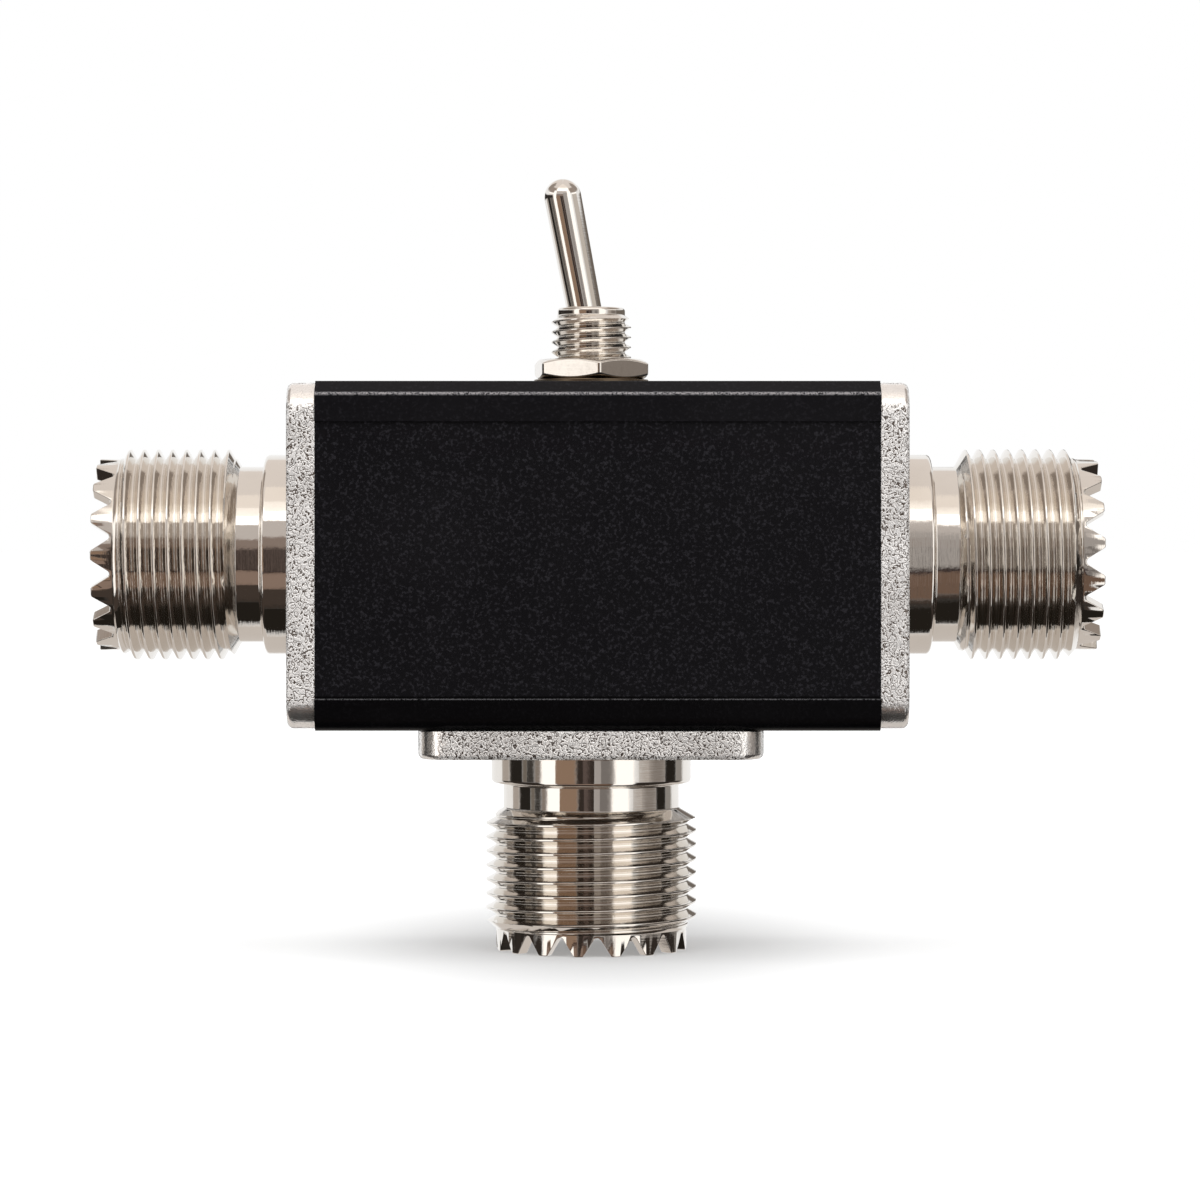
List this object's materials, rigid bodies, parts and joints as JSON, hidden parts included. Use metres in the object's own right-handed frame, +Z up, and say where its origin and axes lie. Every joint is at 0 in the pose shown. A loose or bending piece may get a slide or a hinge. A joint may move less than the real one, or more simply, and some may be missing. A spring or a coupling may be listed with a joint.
{
  "type": "coaxial antenna switch",
  "caption": "Toggle-operated coaxial switch: a black square box with a threaded socket on each end and one below, and a bat lever on top.",
  "frame": {"origin": "on the standing surface, under the middle of the box between the two end sockets", "axes": "+X from the left socket to the right one, +Y to the back, +Z up towards the lever"},
  "size_m": [0.0748, 0.0254, 0.058],
  "materials": {
    "housing_black": "black satin coating with a fine leathery speckle",
    "nickel_shell": "brass, nickel plated and turned, flange edges rough cast",
    "insulator_white": "waxy white fluoropolymer, turned",
    "contact_gold": "brass, thin gold-coloured plate",
    "zinc_steel": "steel, zinc plated",
    "switch_plate": "brass, bright nickel plated",
    "washer_plate": "thin plated washer, warm tint",
    "lever_plate": "brass, bright nickel plated, smooth",
    "spring_steel": "bright spring wire",
    "silver_plate": "silver-plated copper alloy",
    "moulded_red": "dark red moulded thermoset, matt",
    "tinned_wire": "solid copper wire, tinned",
    "solder": "solder, slightly dull"
  },
  "bodies": {
    "housing": {"housing_tube": "housing_black", "left_port_shell": "nickel_shell", "left_port_insulator": "insulator_white", "left_port_contact": "contact_gold", "left_port_screws": "zinc_steel", "right_port_shell": "nickel_shell", "right_port_insulator": "insulator_white", "right_port_contact": "contact_gold", "right_port_screws": "zinc_steel", "common_port_shell": "nickel_shell", "common_port_insulator": "insulator_white", "common_port_contact": "contact_gold", "common_port_screws": "zinc_steel", "switch_bushing": "switch_plate", "switch_frame": "zinc_steel", "switch_case": "moulded_red", "common_terminal": "silver_plate", "left_terminal": "silver_plate", "right_terminal": "silver_plate", "panel_nut": "switch_plate", "flat_washer": "washer_plate", "lock_washer": "zinc_steel", "back_nut": "switch_plate", "left_wire": "tinned_wire", "right_wire": "tinned_wire", "common_wire": "tinned_wire", "solder_joints": "solder"},
    "lever": {"toggle_lever": "lever_plate", "plunger_spring": "spring_steel"},
    "plunger": {"plunger": "lever_plate"},
    "rocker": {"rocker_contact": "silver_plate"}
  },
  "joints": [
    {"name": "lever_throw", "type": "hinge", "parent": "housing", "child": "lever", "pos_m": [-0.0005, 0, 0.04525], "axis": [0, 1, 0], "range_deg": [0, 21.6]},
    {"name": "rocker_tilt", "type": "hinge", "parent": "housing", "child": "rocker", "pos_m": [-0.0005, 0, 0.0321], "axis": [0, 1, 0], "range_deg": [-10, 0]},
    {"name": "plunger_slide", "type": "slide", "parent": "lever", "child": "plunger", "axis": [-0.1874, 0, 0.9823], "range_m": [0, 0.0004], "stiffness_N_per_m": 200, "springref_m": -0.0005, "deforming": ["plunger_spring"]}
  ],
  "couplings": [
    {"joint": "rocker_tilt", "follows": "lever_throw", "ratio": -0.46296}
  ]
}
